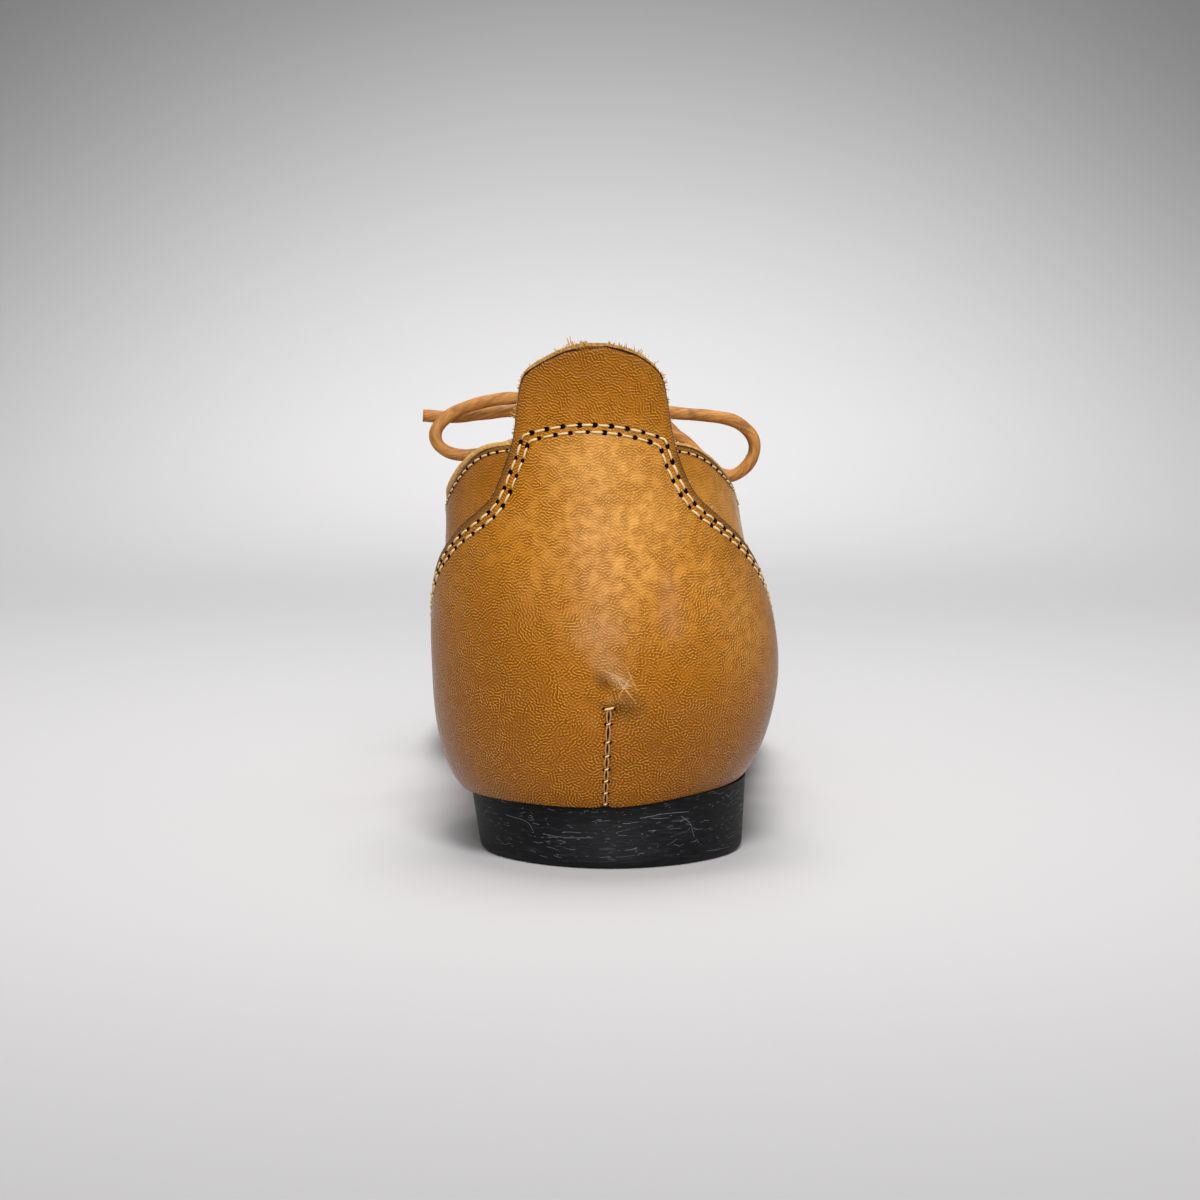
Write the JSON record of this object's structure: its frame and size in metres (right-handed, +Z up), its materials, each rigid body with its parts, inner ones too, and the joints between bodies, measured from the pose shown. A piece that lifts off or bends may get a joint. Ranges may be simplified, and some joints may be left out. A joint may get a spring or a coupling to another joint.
{
  "type": "lace-up shoe",
  "caption": "Low open-laced leather shoe for the right foot with a tall rounded heel tab, a stitched counter, a round leather lace tied in a bow and a thin rubber sole with a low heel.",
  "frame": {"origin": "on the floor, under the middle of the shoe's length and width without its bow", "axes": "+Y towards the toe, +X towards the outer side of the foot, +Z up"},
  "size_m": [0.0923, 0.2788, 0.1085],
  "materials": {
    "upper_leather": "honey tan, waxed, finely wrinkled, worn",
    "lace": "round leather cord, matt",
    "sole_rubber": "black, dull, scuffed",
    "footbed": "plain, matt"
  },
  "bodies": {
    "root": {"outsole": "sole_rubber", "insole": "footbed", "upper": "upper_leather", "quarter_medial": "upper_leather", "quarter_lateral": "upper_leather", "counter": "upper_leather", "tongue": "upper_leather", "lace_bar_upper": "lace", "lace_bar_middle": "lace", "lace_bar_lower": "lace", "lace_knot": "lace", "lace_loop_medial": "lace", "lace_loop_lateral": "lace", "lace_end_medial": "lace", "lace_end_lateral": "lace"}
  },
  "joints": []
}
